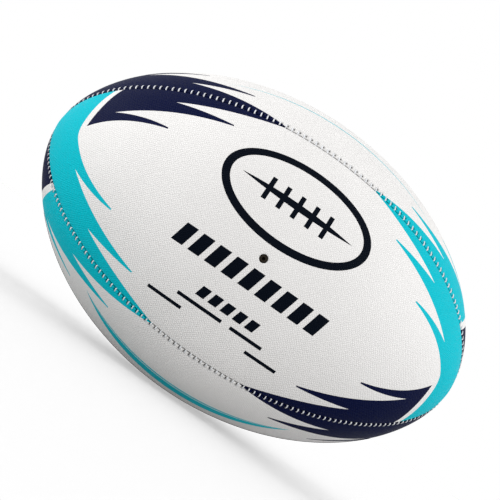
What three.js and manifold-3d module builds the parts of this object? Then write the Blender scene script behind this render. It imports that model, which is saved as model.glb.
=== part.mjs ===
// Size 3 rugby ball, built up the way it is made on the bench: four rubber skins with turned-in
// edges, three woven plies behind each skin, one zig-zag thread along each of the four seams, and
// an air bladder with its needle valve inside.
// Millimetres. Origin at the ball's centre, +X along the long axis, +Z up, valve facing -Y.

import * as THREE from 'three';
import * as BufferGeometryUtils from 'three/addons/utils/BufferGeometryUtils.js';
import Module from 'manifold-3d';

const wasm = await Module();
wasm.setup();

// ---- Driving dimensions -------------------------------------------------------------------

const BALL_LENGTH = 260;
const BALL_DIAMETER = 174;
const END_SHARPNESS = 0.554;      // 0.5 is a plain ellipse, larger draws the ends to a point

const SKIN_THICKNESS = 1.0;
const PLY_THICKNESS = 0.3;
const LAYER_GAP = 0.25;
const BLADDER_THICKNESS = 0.8;
const SEAM_ALLOWANCE_DEPTH = 3.0; // how far the turned edge of a skin reaches into the ball
const SEAM_HALF_GAP = 0.15;       // from the seam plane to the turned edge
const PLY_EDGE_INSET = 2.3;       // plies are cut back from the seam plane by this much
const TIP_RADIUS = 0.8;           // panel tips are cut off this far from the long axis
const TIP_SHOULDER_RADIUS = 5;    // where the rolled edge has its full width again

const STITCH_PITCH = 3.5;
const STITCH_ADVANCE = 0.9;       // along the seam while the thread crosses it
const STITCH_HALF_SPAN = 0.85;    // from the seam to the turn of the thread
const THREAD_HALF_WIDTH = 0.45;
const THREAD_HEIGHT = 0.5;
const THREAD_LIFT = 0.05;         // underside of the thread above the panel surface
const THREAD_START_RADIUS = 5.5;  // distance from the long axis where the stitching begins

const VALVE_X = -1;
const VALVE_Z = -2.8;
const VALVE_HOLE_RADIUS = 2.3;    // through the skin, the plies and the patch
const NOZZLE_RADIUS = 2.0;
const NOZZLE_RECESS = 0.9;        // flat end of the nozzle below the ball's surface
const NEEDLE_HOLE_RADIUS = 0.8;
const PLUG_RADIUS = 1.6;
const FIT_CLEARANCE = 0.3;
const VALVE_BOSS_RADIUS = 3.8;
const VALVE_FLANGE_RADIUS = 9;
const VALVE_FLANGE_THICKNESS = 1.0;
const VALVE_FLANGE_DISH = 0.75;   // the flange is dished to lie against the bladder's wall
const VALVE_DEPTH = 13;
const PATCH_RADIUS = 18;

// Facets: stations along the ball, cells across a panel, sides on round pieces.
const STATIONS = 16;
const CELLS_ACROSS = 6;
const ROUND_SIDES = 16;
const PATCH_SIDES = 24;

const HALF_LENGTH = BALL_LENGTH / 2;
const BALL_RADIUS = BALL_DIAMETER / 2;
const HALF_PANEL = Math.PI / 4;
const PLY_STEP = PLY_THICKNESS + LAYER_GAP;
const FIRST_PLY_DEPTH = SKIN_THICKNESS + LAYER_GAP;
const PATCH_DEPTH = FIRST_PLY_DEPTH + 3 * PLY_STEP - 0.1;
const PATCH_THICKNESS = 0.3;
const BLADDER_DEPTH = SEAM_ALLOWANCE_DEPTH + FIT_CLEARANCE;

// Each panel is named for where it faces; the angle turns about +X, from -Y towards +Z.
const PANELS = [
  { name: 'front', angle: 0 },
  { name: 'top', angle: Math.PI / 2 },
  { name: 'rear', angle: Math.PI },
  { name: 'bottom', angle: -Math.PI / 2 },
];
const SEAMS = [
  { name: 'upper_front', angle: HALF_PANEL },
  { name: 'upper_rear', angle: 3 * HALF_PANEL },
  { name: 'lower_rear', angle: -3 * HALF_PANEL },
  { name: 'lower_front', angle: -HALF_PANEL },
];
const PLY_NAMES = ['outer', 'middle', 'inner'];

// ---- Materials ----------------------------------------------------------------------------

const material = (color, roughness) => new THREE.MeshStandardMaterial({ color, roughness, metalness: 0 });
const skinRubber = material(0xf2efec, 0.55);
const plyFabric = material(0xd9d0b8, 0.9);
const patchFabric = material(0xb9ae94, 0.9);
const bladderRubber = material(0x2a2624, 0.6);
const valveRubber = material(0x3a2a22, 0.5);
const plugRubber = material(0x151515, 0.5);
const seamThread = material(0xdfe6ee, 0.7);

// ---- The ball's outline -------------------------------------------------------------------

// Radius of the outline at a distance x from the middle.
function outlineRadius(x) {
  return BALL_RADIUS * (1 - (x / HALF_LENGTH) ** 2) ** END_SHARPNESS;
}

// Distance from the middle at which the outline has this radius.
function outlineX(radius) {
  return HALF_LENGTH * Math.sqrt(1 - (radius / BALL_RADIUS) ** (1 / END_SHARPNESS));
}

// A station: a point of the outline and its outward normal (nx along the ball, nr away from it).
function stationAt(x) {
  const r = outlineRadius(x);
  const slope = -2 * END_SHARPNESS * r * x / (HALF_LENGTH ** 2 - x ** 2);
  const length = Math.hypot(slope, 1);
  return { x, r, nx: -slope / length, nr: 1 / length };
}

// Stations from the left end to the right end, closer together where the ends curve more.
function stationsFrom(endRadii) {
  const ends = endRadii.map(outlineX);
  const middle = [];
  for (let i = 1; i < STATIONS; i++) middle.push(-HALF_LENGTH * Math.cos(Math.PI * i / STATIONS));
  return [...ends.map((x) => -x), ...middle, ...ends.toReversed()].map(stationAt);
}
const stations = stationsFrom([TIP_RADIUS, TIP_SHOULDER_RADIUS]);

// A point at an angle about the long axis, a depth under the outline and a sideways shift.
function pointAt(station, angle, depth, sideways = 0) {
  const rho = station.r - depth * station.nr;
  return new THREE.Vector3(
    station.x - depth * station.nx,
    -rho * Math.cos(angle) + sideways * Math.sin(angle),
    rho * Math.sin(angle) + sideways * Math.cos(angle),
  );
}

// ---- Solids from sections -----------------------------------------------------------------

// Closed solid through equal loops of points, with both ends capped by the same triangulation.
function solidThroughLoops(loops, capTriangles) {
  const size = loops[0].length;
  const faces = [];
  for (let i = 0; i + 1 < loops.length; i++) {
    for (let j = 0; j < size; j++) {
      const here = i * size + j;
      const beside = i * size + (j + 1) % size;
      faces.push(here, beside, beside + size, here, beside + size, here + size);
    }
  }
  const last = (loops.length - 1) * size;
  for (const [a, b, c] of capTriangles) {
    faces.push(a, c, b, last + a, last + b, last + c);
  }
  return geometryFrom(loops.flat().flatMap((p) => [p.x, p.y, p.z]), faces);
}

// Indexed geometry with its faces pointing out.
function geometryFrom(positions, faces) {
  let volume = 0;
  const corner = (k) => new THREE.Vector3().fromArray(positions, 3 * faces[k]);
  for (let k = 0; k < faces.length; k += 3) {
    volume += corner(k).dot(corner(k + 1).cross(corner(k + 2)));
  }
  const outward = volume > 0 ? faces : faces.toReversed();
  const geometry = new THREE.BufferGeometry();
  geometry.setAttribute('position', new THREE.Float32BufferAttribute(positions, 3));
  geometry.setIndex(outward);
  return geometry;
}

function capFor(loop) {
  return THREE.ShapeUtils.triangulateShape(loop.map(([u, v]) => new THREE.Vector2(u, v)), []);
}

// Angle from the middle of a panel to a point this far in from its seam plane.
function angleInFromSeam(station, depth, inset) {
  return HALF_PANEL - Math.asin(inset / (station.r - depth * station.nr));
}

// Room for the rolled edge: insets keep their full size until the panel narrows to its tip.
function edgeInset(station, full, share) {
  const halfWidth = station.r * Math.sin(HALF_PANEL) - SEAM_HALF_GAP;
  return SEAM_HALF_GAP + Math.min(full - SEAM_HALF_GAP, halfWidth * share);
}

// Solid whose section at every station lists [angle from the panel's middle, depth].
function panelSolid(panel, sectionAt) {
  const sections = stations.map(sectionAt);
  const loops = sections.map((section, i) => section.map(
    ([angle, depth]) => pointAt(stations[i], panel.angle + angle, depth),
  ));
  const widest = sections[Math.floor(sections.length / 2)];
  const flat = widest.map(([angle, depth]) => [angle * BALL_RADIUS, depth]);
  return solidThroughLoops(loops, capFor(flat));
}

// A row of points across a panel, from minus to plus the given angle.
function rowAcross(halfAngle, depth) {
  const row = [];
  for (let j = 0; j <= CELLS_ACROSS; j++) row.push([halfAngle * (2 * j / CELLS_ACROSS - 1), depth]);
  return row;
}

// A plain layer of a panel, cut back from the seams.
function layerSection(station, depth, thickness) {
  const inset = edgeInset(station, PLY_EDGE_INSET, 0.75);
  const upper = rowAcross(angleInFromSeam(station, depth, inset), depth);
  const lower = rowAcross(angleInFromSeam(station, depth + thickness, inset), depth + thickness);
  return [...upper, ...lower.toReversed()];
}

// A skin: its edges roll over and turn into the ball as a seam allowance.
function skinSection(station) {
  const shoulder = edgeInset(station, 2.4, 0.6);
  const roll = edgeInset(station, 1.0, 0.25);
  const innerShoulder = edgeInset(station, 2.0, 0.5);
  const innerWall = edgeInset(station, 1.1, 0.3);
  const edge = [
    [roll, 0.3],
    [SEAM_HALF_GAP, 1.1],
    [SEAM_HALF_GAP, SEAM_ALLOWANCE_DEPTH],
    [innerWall, SEAM_ALLOWANCE_DEPTH],
    [innerWall, 1.9],
  ].map(([inset, depth]) => [angleInFromSeam(station, depth, inset), depth]);
  const mirrored = edge.map(([angle, depth]) => [-angle, depth]).toReversed();
  const outer = rowAcross(angleInFromSeam(station, 0, shoulder), 0);
  const inner = rowAcross(angleInFromSeam(station, SKIN_THICKNESS, innerShoulder), SKIN_THICKNESS);
  return [...outer, ...edge, ...inner.toReversed(), ...mirrored];
}

// ---- Cutting ------------------------------------------------------------------------------

function toManifold(geometry) {
  const bare = geometry.clone();
  bare.deleteAttribute('normal');
  bare.deleteAttribute('uv');
  const merged = BufferGeometryUtils.mergeVertices(bare, 1e-5);
  return new wasm.Manifold(new wasm.Mesh({
    numProp: 3,
    vertProperties: new Float32Array(merged.attributes.position.array),
    triVerts: new Uint32Array(merged.index.array),
  }));
}

function fromManifold(solid) {
  const mesh = solid.getMesh();
  const geometry = new THREE.BufferGeometry();
  geometry.setAttribute('position', new THREE.BufferAttribute(mesh.vertProperties, 3));
  geometry.setIndex(new THREE.BufferAttribute(mesh.triVerts, 1));
  return geometry;
}

// Round cutter along the valve's axis, through the front wall of the ball only.
function valveCutter(radius, sides) {
  const length = 30;
  const cutter = new THREE.CylinderGeometry(radius, radius, length, sides);
  cutter.translate(VALVE_X, -BALL_RADIUS, VALVE_Z);
  return toManifold(cutter);
}

function withValveHole(geometry, radius) {
  return fromManifold(toManifold(geometry).subtract(valveCutter(radius, ROUND_SIDES)));
}

// ---- Pieces -------------------------------------------------------------------------------

function skin(panel) {
  const solid = panelSolid(panel, skinSection);
  return panel.name === 'front' ? withValveHole(solid, VALVE_HOLE_RADIUS) : solid;
}

function ply(panel, index) {
  const depth = FIRST_PLY_DEPTH + index * PLY_STEP;
  const solid = panelSolid(panel, (station) => layerSection(station, depth, PLY_THICKNESS));
  return panel.name === 'front' ? withValveHole(solid, VALVE_HOLE_RADIUS) : solid;
}

// Round reinforcement behind the plies of the front panel, with a hole for the nozzle.
function valvePatch() {
  const layer = panelSolid(PANELS[0], (station) => layerSection(station, PATCH_DEPTH, PATCH_THICKNESS));
  const disc = toManifold(layer).intersect(valveCutter(PATCH_RADIUS, PATCH_SIDES));
  return withValveHole(fromManifold(disc), VALVE_HOLE_RADIUS);
}

// One wall surface of the bladder as a closed solid of revolution.
function bladderSurface(depth) {
  const ends = HALF_LENGTH - depth;
  const profile = stationsFrom([TIP_SHOULDER_RADIUS]).map(
    (station) => new THREE.Vector2(station.r - depth * station.nr, station.x - depth * station.nx),
  );
  const outline = [new THREE.Vector2(0, -ends), ...profile, new THREE.Vector2(0, ends)];
  const surface = new THREE.LatheGeometry(outline, CELLS_ACROSS * PANELS.length);
  return surface.rotateZ(-Math.PI / 2);
}

function bladder() {
  const outside = toManifold(bladderSurface(BLADDER_DEPTH));
  const hollow = toManifold(bladderSurface(BLADDER_DEPTH + BLADDER_THICKNESS));
  return withValveHole(fromManifold(outside.subtract(hollow)), VALVE_BOSS_RADIUS + FIT_CLEARANCE);
}

// Turned piece on the valve's axis, from [radius, depth under the ball's surface] points that
// start at its needle end and go down the middle first.
function valvePiece(points) {
  const profile = points.map(([radius, depth]) => new THREE.Vector2(radius, depth));
  return new THREE.LatheGeometry(profile.toReversed(), ROUND_SIDES);
}

function valveHousing() {
  const bossTop = BLADDER_DEPTH + 0.8;
  const flangeTop = BLADDER_DEPTH + BLADDER_THICKNESS + 1.15;
  const flangeRim = flangeTop + VALVE_FLANGE_DISH;
  const chamberRadius = PLUG_RADIUS + FIT_CLEARANCE;
  const chamberTop = NOZZLE_RECESS + 1.3;
  return valvePiece([
    [NEEDLE_HOLE_RADIUS, NOZZLE_RECESS],
    [NEEDLE_HOLE_RADIUS, chamberTop],
    [chamberRadius - 0.3, chamberTop],
    [chamberRadius, bossTop],
    [chamberRadius, VALVE_DEPTH],
    [VALVE_BOSS_RADIUS, VALVE_DEPTH],
    [VALVE_BOSS_RADIUS, flangeTop + VALVE_FLANGE_THICKNESS],
    [VALVE_FLANGE_RADIUS, flangeRim + VALVE_FLANGE_THICKNESS],
    [VALVE_FLANGE_RADIUS, flangeRim],
    [VALVE_BOSS_RADIUS, flangeTop],
    [VALVE_BOSS_RADIUS, bossTop],
    [NOZZLE_RADIUS, bossTop],
    [NOZZLE_RADIUS, NOZZLE_RECESS],
    [NEEDLE_HOLE_RADIUS, NOZZLE_RECESS],
  ]);
}

// Self-sealing plug pushed up into the housing from inside the bladder.
function valvePlug() {
  const top = BLADDER_DEPTH + 0.6;
  const headTop = VALVE_DEPTH + FIT_CLEARANCE;
  const headRadius = PLUG_RADIUS + 1.2;
  const headFoot = headTop + 1;
  return valvePiece([
    [0, headFoot],
    [headRadius, headFoot],
    [headRadius, headTop],
    [PLUG_RADIUS, headTop],
    [PLUG_RADIUS, top],
    [0, top],
  ]);
}

// Points of a seam: stations spread evenly between its two ends, on the faceted surface.
function seamLine() {
  const points = stations.map((station) => new THREE.Vector2(station.x, station.r));
  const lengths = [0];
  for (let i = 1; i < points.length; i++) lengths.push(lengths[i - 1] + points[i].distanceTo(points[i - 1]));
  const share = (THREAD_START_RADIUS - TIP_RADIUS) * 1.05;
  const at = (distance) => {
    const i = Math.max(1, lengths.findIndex((length) => length >= distance));
    const t = (distance - lengths[i - 1]) / (lengths[i] - lengths[i - 1]);
    const mixed = {};
    for (const key of ['x', 'r', 'nx', 'nr']) {
      mixed[key] = THREE.MathUtils.lerp(stations[i - 1][key], stations[i][key], t);
    }
    return mixed;
  };
  return { at, start: share, end: lengths.at(-1) - share };
}

// One thread along a whole seam, turning to and fro across it.
function seamThreadSolid(seam) {
  const { at, start, end } = seamLine();
  const stitches = Math.floor((end - start) / STITCH_PITCH);
  const margin = (end - start - stitches * STITCH_PITCH) / 2;
  const loops = [];
  for (let k = 0; k < stitches; k++) {
    for (const side of [-1, 1]) {
      const station = at(start + margin + k * STITCH_PITCH + (side + 1) / 2 * STITCH_ADVANCE);
      const middle = side * STITCH_HALF_SPAN;
      loops.push([
        pointAt(station, seam.angle, -THREAD_LIFT, middle - THREAD_HALF_WIDTH),
        pointAt(station, seam.angle, -THREAD_LIFT, middle + THREAD_HALF_WIDTH),
        pointAt(station, seam.angle, -THREAD_LIFT - THREAD_HEIGHT, middle),
      ]);
    }
  }
  return solidThroughLoops(loops, [[0, 1, 2]]);
}

// ---- The ball -----------------------------------------------------------------------------

const ball = new THREE.Group();

function addPiece(name, geometry, pieceMaterial) {
  const mesh = new THREE.Mesh(geometry, pieceMaterial);
  mesh.name = name;
  ball.add(mesh);
  return mesh;
}

for (const panel of PANELS) {
  addPiece(`panel_${panel.name}`, skin(panel), skinRubber);
  PLY_NAMES.forEach((name, index) => {
    addPiece(`ply_${name}_${panel.name}`, ply(panel, index), plyFabric);
  });
}
for (const seam of SEAMS) addPiece(`seam_thread_${seam.name}`, seamThreadSolid(seam), seamThread);
addPiece('bladder', bladder(), bladderRubber);
addPiece('valve_patch', valvePatch(), patchFabric);
for (const piece of [
  addPiece('valve_housing', valveHousing(), valveRubber),
  addPiece('valve_plug', valvePlug(), plugRubber),
]) {
  piece.position.set(VALVE_X, -BALL_RADIUS, VALVE_Z);
}

export default ball;
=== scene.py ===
"""Size 3 rugby ball: printed rubber skins, woven plies, hand-stitched seams, bladder and valve."""

import math

import bpy
import numpy as np
from bpy.props import FloatProperty, FloatVectorProperty, PointerProperty
from mathutils import Matrix, Vector
from mathutils.geometry import delaunay_2d_cdt
from mathutils.kdtree import KDTree


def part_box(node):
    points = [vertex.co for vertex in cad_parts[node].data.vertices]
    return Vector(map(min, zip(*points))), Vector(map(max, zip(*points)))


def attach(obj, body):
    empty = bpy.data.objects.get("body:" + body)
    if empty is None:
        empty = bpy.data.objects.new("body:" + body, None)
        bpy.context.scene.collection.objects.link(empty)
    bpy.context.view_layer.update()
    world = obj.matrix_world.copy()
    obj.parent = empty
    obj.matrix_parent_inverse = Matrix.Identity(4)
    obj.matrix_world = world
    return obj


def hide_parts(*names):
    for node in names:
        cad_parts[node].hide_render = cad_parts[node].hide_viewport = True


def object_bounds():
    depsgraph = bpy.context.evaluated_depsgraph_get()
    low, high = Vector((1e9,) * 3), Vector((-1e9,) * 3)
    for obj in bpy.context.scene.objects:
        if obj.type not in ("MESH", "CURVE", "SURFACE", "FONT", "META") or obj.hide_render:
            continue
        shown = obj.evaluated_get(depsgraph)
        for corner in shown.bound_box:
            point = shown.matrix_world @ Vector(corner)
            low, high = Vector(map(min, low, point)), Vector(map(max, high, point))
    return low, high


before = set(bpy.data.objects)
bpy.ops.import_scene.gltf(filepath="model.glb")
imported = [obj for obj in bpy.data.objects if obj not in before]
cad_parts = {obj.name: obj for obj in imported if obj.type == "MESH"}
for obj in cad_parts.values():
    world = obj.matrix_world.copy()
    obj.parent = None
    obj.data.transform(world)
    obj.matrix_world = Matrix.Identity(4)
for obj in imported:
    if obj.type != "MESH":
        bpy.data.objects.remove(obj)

bl_info = {
    "name": "Rugby Ball",
    "version": (1, 0, 0),
    "blender": (4, 5, 0),
    "location": "3D View > Sidebar > Rugby Ball",
    "description": "Builds a stitched rubber rugby ball around its packed model",
    "category": "Add Mesh",
}

# ---- Sizes ----
# Shapes are worked out in millimetres and turned into metres when a mesh is made.

MM = 0.001
FRAME_BOX = [list(corner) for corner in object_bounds()]
HALF_LENGTH = (FRAME_BOX[1][0] - FRAME_BOX[0][0]) / 2 / MM
RADIUS = (FRAME_BOX[1][2] - FRAME_BOX[0][2]) / 2 / MM
SHARPNESS = 0.554            # 0.5 is a plain ellipse, larger draws the ends to a point
HALF_PANEL = math.pi / 4

SKIN_THICKNESS = 1.0
SEAM_EDGE = 0.12             # from the seam to the turned edge of a skin
SEAM_ALLOWANCE = 3.0         # how deep the turned edge reaches into the ball
FOLD_DEPTH = 1.9             # where the turned edge starts to widen into the skin
PLY_THICKNESS = 0.3
PLY_STEP = 0.55
FIRST_PLY_DEPTH = 1.25
PLY_INSET = 2.3
PATCH_DEPTH = 2.8
PATCH_RADIUS = 18
BLADDER_DEPTH = 3.3
BLADDER_THICKNESS = 0.8

VALVE_LOW, VALVE_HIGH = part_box("valve_housing")
VALVE_X = (VALVE_LOW.x + VALVE_HIGH.x) / 2 / MM
VALVE_Z = (VALVE_LOW.z + VALVE_HIGH.z) / 2 / MM
VALVE_HOLE = 2.3
BOSS_HOLE = 4.1              # hole in the bladder for the valve's boss
CUTTER_REACH = 20            # of the round cutter, to both sides of the ball's surface
PLUG_COLOUR = (0.004, 0.003, 0.002)

# Each panel turns about the long axis from the front, takes its own pair of print colours and
# is sewn like the named panel along its lower and its upper side. Arcs are thin teal lines: how
# far the two edges of each are from the panel's middle, halfway along the ball.
PANELS = {
    "front": dict(angle=0.0, end_ink="teal", corner_ink="navy", sewn=("bottom", "top")),
    "top": dict(angle=math.pi / 2, end_ink="navy", corner_ink="teal", sewn=("top", "top"),
                arcs=((35.9, 34.8),)),
    "rear": dict(angle=math.pi, end_ink="teal", corner_ink="navy", sewn=("top", "bottom")),
    "bottom": dict(angle=-math.pi / 2, end_ink="navy", corner_ink="teal", sewn=("bottom", "bottom"),
                   arcs=((33.6, 31.8), (31.0, 22.5))),
}
# Stitches run to the right over the top panel and to the left over the bottom panel. Beside each
# is a needle slit: its two distances from the seam and its half width. Lean is the shift along
# the seam for each millimetre across it. Reach, pitch and start are shares of a full stitch and
# of the stitch pitch.
SEWING = {
    "top": dict(run=1, lean=-0.15, reach=1.0, slit=(0.95, 2.35, 0.37), pitch=1.06, start=0.97),
    "bottom": dict(run=-1, lean=0.08, reach=0.78, slit=(0.3, 2.15, 0.28), pitch=0.95, start=0.28),
}
# The stitches of a seam lie over the edge of its top or bottom panel: toward says which way.
SEAMS = {
    "upper_front": dict(angle=HALF_PANEL, toward=1, over="top"),
    "upper_rear": dict(angle=3 * HALF_PANEL, toward=-1, over="top"),
    "lower_rear": dict(angle=-3 * HALF_PANEL, toward=1, over="bottom"),
    "lower_front": dict(angle=-HALF_PANEL, toward=-1, over="bottom"),
}
PLY_NAMES = ("outer", "middle", "inner")
INK_ROUGHNESS = {"white": 0.50, "teal": 0.45, "navy": 0.42, "black": 0.42}

# Softboxes: name, degrees round the ball from its front, degrees up, and watts.
LAMPS = (("right_softbox", 95, 24, 11.4), ("left_softbox", -98, 18, 15.5), ("front_softbox", 0, 6, 10.5))
LAMP_DISTANCE = 1.6          # metres, like the two sizes after it
LAMP_SIZE = 1.0
FLOOR_HALF = 6.0
FLOOR_LIGHT = 1.3
SURROUNDINGS = 0.83
CAMERA_SHIFT = (-0.0096, 0.0162)


# ---- Settings a user would change ----


class RugbyBallSkinSettings(bpy.types.PropertyGroup):
    """Rubber skins and their print."""

    white: FloatVectorProperty(
        name="White", description="Colour of the plain rubber", subtype="COLOR",
        size=3, min=0, max=1, default=(0.875, 0.862, 0.85),
    )
    teal: FloatVectorProperty(
        name="Teal", description="Colour of the teal flashes", subtype="COLOR",
        size=3, min=0, max=1, default=(0.003, 0.53, 0.63),
    )
    navy: FloatVectorProperty(
        name="Navy", description="Colour of the navy flashes", subtype="COLOR",
        size=3, min=0, max=1, default=(0.0025, 0.0055, 0.038),
    )
    black: FloatVectorProperty(
        name="Black", description="Colour of the plain oval mark", subtype="COLOR",
        size=3, min=0, max=1, default=(0.002, 0.004, 0.009),
    )
    grain: FloatProperty(
        name="Grain", description="Distance between the pimples of the grip",
        unit="LENGTH", default=0.0011,
    )
    roll: FloatProperty(
        name="Edge roll", description="Width of the rounded edge along a seam",
        unit="LENGTH", default=0.0012,
    )


class RugbyBallSeamSettings(bpy.types.PropertyGroup):
    """Stitching of the four seams."""

    pitch: FloatProperty(
        name="Stitch pitch", description="Distance from one stitch to the next",
        unit="LENGTH", default=0.0033,
    )
    thread: FloatProperty(
        name="Thread width", description="Thickness of the sewing thread",
        unit="LENGTH", default=0.00074,
    )
    colour: FloatVectorProperty(
        name="Thread colour", description="Colour of the sewing thread", subtype="COLOR",
        size=3, min=0, max=1, default=(0.85, 0.868, 0.90),
    )


class RugbyBallInsideSettings(bpy.types.PropertyGroup):
    """Pieces inside the ball."""

    cloth: FloatVectorProperty(
        name="Ply cloth", description="Colour of the woven plies", subtype="COLOR",
        size=3, min=0, max=1, default=(0.60, 0.53, 0.39),
    )
    bladder: FloatVectorProperty(
        name="Bladder", description="Colour of the air bladder", subtype="COLOR",
        size=3, min=0, max=1, default=(0.030, 0.027, 0.025),
    )
    valve: FloatVectorProperty(
        name="Valve", description="Colour of the valve's rubber", subtype="COLOR",
        size=3, min=0, max=1, default=(0.014, 0.008, 0.0025),
    )


class RugbyBallStageSettings(bpy.types.PropertyGroup):
    """Camera and light."""

    distance: FloatProperty(
        name="Camera distance", description="From the camera to the middle of the ball",
        unit="LENGTH", default=0.702,
    )
    heading: FloatProperty(
        name="Camera heading", description="Turn of the camera round the ball",
        subtype="ANGLE", default=math.radians(-3.09),
    )
    rise: FloatProperty(
        name="Camera rise", description="Height of the camera above the ball's middle",
        subtype="ANGLE", default=math.radians(-3.32),
    )
    roll: FloatProperty(
        name="Camera roll", description="Turn of the camera about its own axis",
        subtype="ANGLE", default=math.radians(34.67),
    )
    lens: FloatProperty(
        name="Lens", description="Focal length in millimetres", default=91.9,
    )
    floor: FloatVectorProperty(
        name="Floor", description="Colour of the floor", subtype="COLOR",
        size=3, min=0, max=1, default=(0.42, 0.42, 0.42),
    )


# ---- The ball's outline ----


class Outline:
    """The ball's outline by the distance s along its surface, measured from the middle."""

    def __init__(self):
        turn = np.linspace(0, math.pi, 8001)
        self.x = -HALF_LENGTH * np.cos(turn)
        self.r = RADIUS * np.sin(turn) ** (2 * SHARPNESS)
        run = np.concatenate(([0.0], np.cumsum(np.hypot(np.diff(self.x), np.diff(self.r)))))
        self.s = run - run[-1] / 2
        along_x = np.gradient(self.x, self.s)
        along_r = np.gradient(self.r, self.s)
        length = np.hypot(along_x, along_r)
        self.nx = -along_r / length
        self.nr = along_x / length

    def radius(self, s):
        return np.interp(s, self.s, self.r)

    def half_width(self, s):
        """From the middle of a panel to its seam, over the surface."""
        return self.radius(s) * HALF_PANEL

    def point(self, s, angle, height):
        """Points on the surface, raised by a height along its normal."""
        rho = np.interp(s, self.s, self.r) + height * np.interp(s, self.s, self.nr)
        x = np.interp(s, self.s, self.x) + height * np.interp(s, self.s, self.nx)
        return np.stack([x, -rho * np.cos(angle), rho * np.sin(angle)], axis=-1)

    def where_radius(self, radius):
        """Distance from the middle at which the outline has this radius."""
        half = len(self.s) // 2
        return float(np.interp(radius, self.r[half:][::-1], self.s[half:][::-1]))


OUTLINE = Outline()
TIP = OUTLINE.where_radius(0.3)
STITCHED = OUTLINE.where_radius(4.5)


def full_turn(count):
    """Evenly spread angles of a full turn."""
    return np.linspace(0, 2 * math.pi, count, endpoint=False)


def has_valve(panel):
    return panel is PANELS["front"]


def from_valve(s, w):
    """Distance of flat points from the valve's axis."""
    return np.hypot(s - VALVE_X, w - VALVE_Z)


# ---- Print ----


def bend(start, control, end, steps=18):
    """Points of a quadratic curve, without its last one."""
    t = np.linspace(0, 1, steps, endpoint=False)[:, None]
    start, control, end = (np.array(p, dtype=float) for p in (start, control, end))
    return (1 - t) ** 2 * start + 2 * t * (1 - t) * control + t ** 2 * end


def flash_spikes():
    """Three spikes from (toward the end, toward the seam), the last one run out over the seam."""
    first_tip, first_back = (78.6, 24.9), (78.8, 25.7)
    second_tip, second_back = (50.3, 46.8), (50.6, 47.6)
    first_notch, second_notch = (112.5, 18.1), (84, 41.7)
    return [
        bend((124.6, 3.8), (106, 18.5), first_tip),
        bend(first_tip, first_tip, first_back, 2),
        bend(first_back, (94, 24.9), first_notch),
        bend(first_notch, (80, 38.2), second_tip),
        bend(second_tip, second_tip, second_back, 2),
        bend(second_back, (66.5, 46), second_notch),
        bend(second_notch, (68, 50.4), (20, 69.2)),
    ]


def corner_flash():
    """Flash that stands free of the end, behind a bare stripe."""
    stripe = bend((118, 38), (125.2, 20), (124.6, 3.8))
    return np.concatenate([*flash_spikes(), [(20, 80), (118, 80)], stripe])


def end_flash():
    """Flash that takes in the whole end of the panel."""
    wrap = [
        bend((121, -38), (130.5, -18), (128.9, -5)),
        bend((128.9, -5), (128.4, 0.6), (124.6, 3.8)),
    ]
    return np.concatenate([*wrap, *flash_spikes(), [(20, 80), (200, 80), (200, -80), (121, -80)]])


def oval(centre, half_long, half_wide, steps=72):
    turn = full_turn(steps)
    return np.stack([centre[0] + half_long * np.cos(turn), centre[1] + half_wide * np.sin(turn)], axis=-1)


def valve_ring(radius):
    """Circle round the valve's axis."""
    return oval((VALVE_X, VALVE_Z), radius, radius, RING_SIDES)


def pointed_bar(centre, half_long, half_wide):
    """A slim bar drawn to a point at both ends."""
    left = (centre[0] - half_long, centre[1])
    right = (centre[0] + half_long, centre[1])
    return np.concatenate([
        bend(left, (centre[0], centre[1] + 2 * half_wide), right, 36),
        bend(right, (centre[0], centre[1] - 2 * half_wide), left, 36),
    ])


def slanted_bar(start, end, low, high, lean=0.0):
    """A straight bar along the ball from start to end, with leaning ends."""
    shift = lean * (high - low)
    return np.array([(start, low), (end, low), (end + shift, high), (start + shift, high)], dtype=float)


def plain_mark():
    """A plain outline of a ball with a lace, over rows of plain bars."""
    centre = (-1.0, 28.0)
    mark = [
        (oval(centre, 43, 23.5), "black"),
        (oval(centre, 38.5, 19.5), "white"),
        (pointed_bar(centre, 33, 1.9), "black"),
    ]
    bars = []
    for step in range(-2, 3):
        place = centre[0] + 8.5 * step
        bars.append((place - 1.3, place + 1.3, centre[1] - 6.5, centre[1] + 6.5))
    for step in range(9):
        bars.append((-44 + 9.8 * step, -37.4 + 9.8 * step, -20, -9, 0.25))
    for step in range(5):
        bars.append((-18.5 + 7.2 * step, -13.6 + 7.2 * step, -36.5, -30.5, 0.25))
    for start, end, low in ((-26, 0, -42), (5, 24, -42), (-40, -20, -48.5), (18, 37, -48.5)):
        bars.append((start, end, low, low + 2))
    return mark + [(slanted_bar(*bar), "black") for bar in bars]


def print_shapes(panel):
    """Outlines and inks of a panel, the later ones over the earlier ones."""
    shapes = []
    for side in (-1, 1):
        shapes.append((corner_flash() * (side, -side), panel["corner_ink"]))
        shapes.append((end_flash() * (side, side), panel["end_ink"]))
        for near, far in panel.get("arcs", ()):
            arc = np.concatenate([
                bend((-66, 37.5), (0, 2 * near - 37.5), (66, 37.5), 40),
                bend((66, 37.5), (0, 2 * far - 37.5), (-66, 37.5), 40),
            ])
            shapes.append((arc * (1, side), "teal"))
    return shapes + plain_mark() if has_valve(panel) else shapes


def inside(polygon, points):
    """Which of the points lie inside a closed polygon."""
    x, y = points[:, 0], points[:, 1]
    result = np.zeros(len(points), dtype=bool)
    for (x1, y1), (x2, y2) in zip(polygon, np.roll(polygon, -1, axis=0)):
        crosses = (y1 > y) != (y2 > y)
        if crosses.any():
            edge_x = x1 + (y[crosses] - y1) * (x2 - x1) / (y2 - y1)
            result[crosses] ^= x[crosses] < edge_x
    return result


# ---- Relief of a skin ----

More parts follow.
